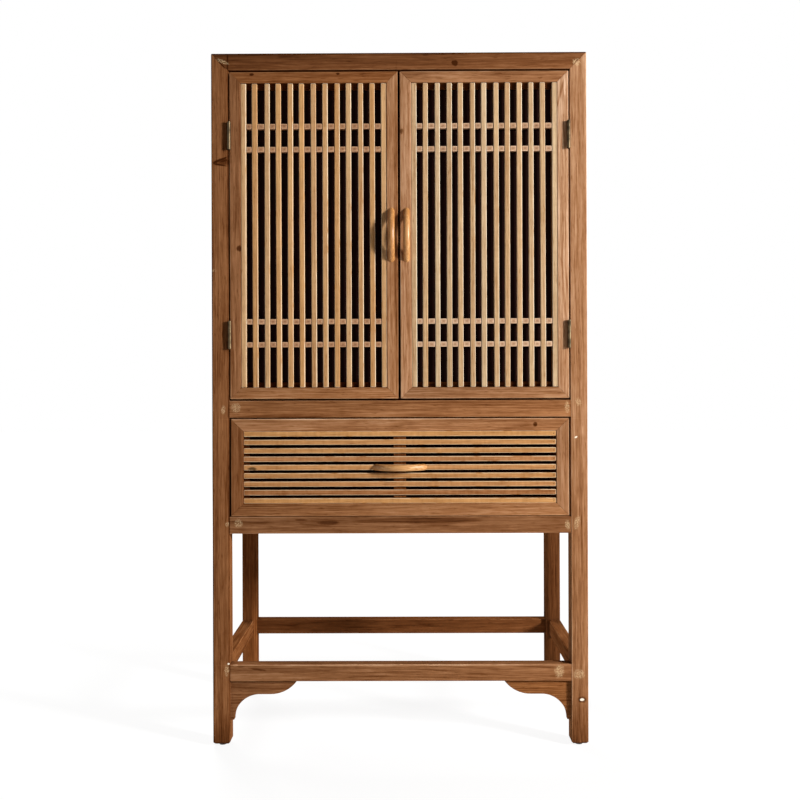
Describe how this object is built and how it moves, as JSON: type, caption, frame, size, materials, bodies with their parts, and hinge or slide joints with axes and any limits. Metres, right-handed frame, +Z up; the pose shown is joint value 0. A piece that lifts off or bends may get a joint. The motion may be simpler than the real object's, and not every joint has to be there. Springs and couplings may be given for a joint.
{
  "type": "slatted door cabinet",
  "caption": "Tall wooden cabinet with slatted double doors over a slatted drawer, on an open legged stand with low stretchers and curved brackets.",
  "frame": {"origin": "on the floor, under the middle of the whole box, handles included", "axes": "+Z up; -Y is the front, where the doors and drawer are; +X to the right of a person facing it"},
  "size_m": [0.866, 0.458, 1.6],
  "materials": {
    "frame_wood": "oiled reclaimed pine, satin",
    "panel_wood": "oiled pine boards, matt",
    "slat_wood": "pale slats, satin lacquer",
    "drawer_slat_wood": "warm slats, satin lacquer",
    "handle_wood": "turned hardwood, semi-gloss lacquer",
    "black_backing": "board stained black, matt",
    "hinge_steel": "dull worn steel",
    "catch_plastic": "brown moulded plastic",
    "glide_plastic": "dark nylon"
  },
  "bodies": {
    "carcase": {"base_front_rail": "frame_wood", "base_rear_rail": "frame_wood", "base_side_rails": "frame_wood", "cabinet_floor": "panel_wood", "door_catches": "catch_plastic", "drawer_runners": "panel_wood", "foot_glides": "glide_plastic", "front_left_post": "frame_wood", "front_right_post": "frame_wood", "front_stretcher": "frame_wood", "hinge_pins": "hinge_steel", "hinge_post_leaves": "hinge_steel", "left_stretcher": "frame_wood", "left_upper_panel": "panel_wood", "lower_back_panel": "panel_wood", "lower_side_panels": "panel_wood", "mid_front_rail": "frame_wood", "mid_rear_rail": "frame_wood", "mid_side_rails": "frame_wood", "rear_left_post": "frame_wood", "rear_right_post": "frame_wood", "rear_stretcher": "frame_wood", "right_stretcher": "frame_wood", "right_upper_panel": "panel_wood", "shelf": "panel_wood", "shelf_cleats": "panel_wood", "stretcher_brackets": "frame_wood", "top_front_rail": "frame_wood", "top_left_rail": "frame_wood", "top_panel": "panel_wood", "top_rear_rail": "frame_wood", "top_right_rail": "frame_wood", "upper_back_panel": "panel_wood"},
    "left_door": {"left_door_backing": "black_backing", "left_door_cross_slats": "slat_wood", "left_door_handle": "handle_wood", "left_door_hinge_leaves": "hinge_steel", "left_door_rails": "frame_wood", "left_door_slats": "slat_wood", "left_door_stiles": "frame_wood", "left_door_strike": "hinge_steel"},
    "right_door": {"right_door_backing": "black_backing", "right_door_cross_slats": "slat_wood", "right_door_handle": "handle_wood", "right_door_hinge_leaves": "hinge_steel", "right_door_rails": "frame_wood", "right_door_slats": "slat_wood", "right_door_stiles": "frame_wood", "right_door_strike": "hinge_steel"},
    "drawer": {"drawer_back": "panel_wood", "drawer_backing": "black_backing", "drawer_batten": "slat_wood", "drawer_bottom": "panel_wood", "drawer_front_rails": "frame_wood", "drawer_front_stiles": "frame_wood", "drawer_handle": "handle_wood", "drawer_sides": "panel_wood", "drawer_slats": "drawer_slat_wood"}
  },
  "joints": [
    {"name": "left_door_hinge", "type": "hinge", "parent": "carcase", "child": "left_door", "pos_m": [-0.391, -0.2054, 1.1795], "axis": [0, 0, -1], "range_deg": [0, 170]},
    {"name": "right_door_hinge", "type": "hinge", "parent": "carcase", "child": "right_door", "pos_m": [0.391, -0.2054, 1.1795], "axis": [0, 0, 1], "range_deg": [0, 170]},
    {"name": "drawer_slide", "type": "slide", "parent": "carcase", "child": "drawer", "axis": [0, -1, 0], "range_m": [0, 0.28]}
  ]
}
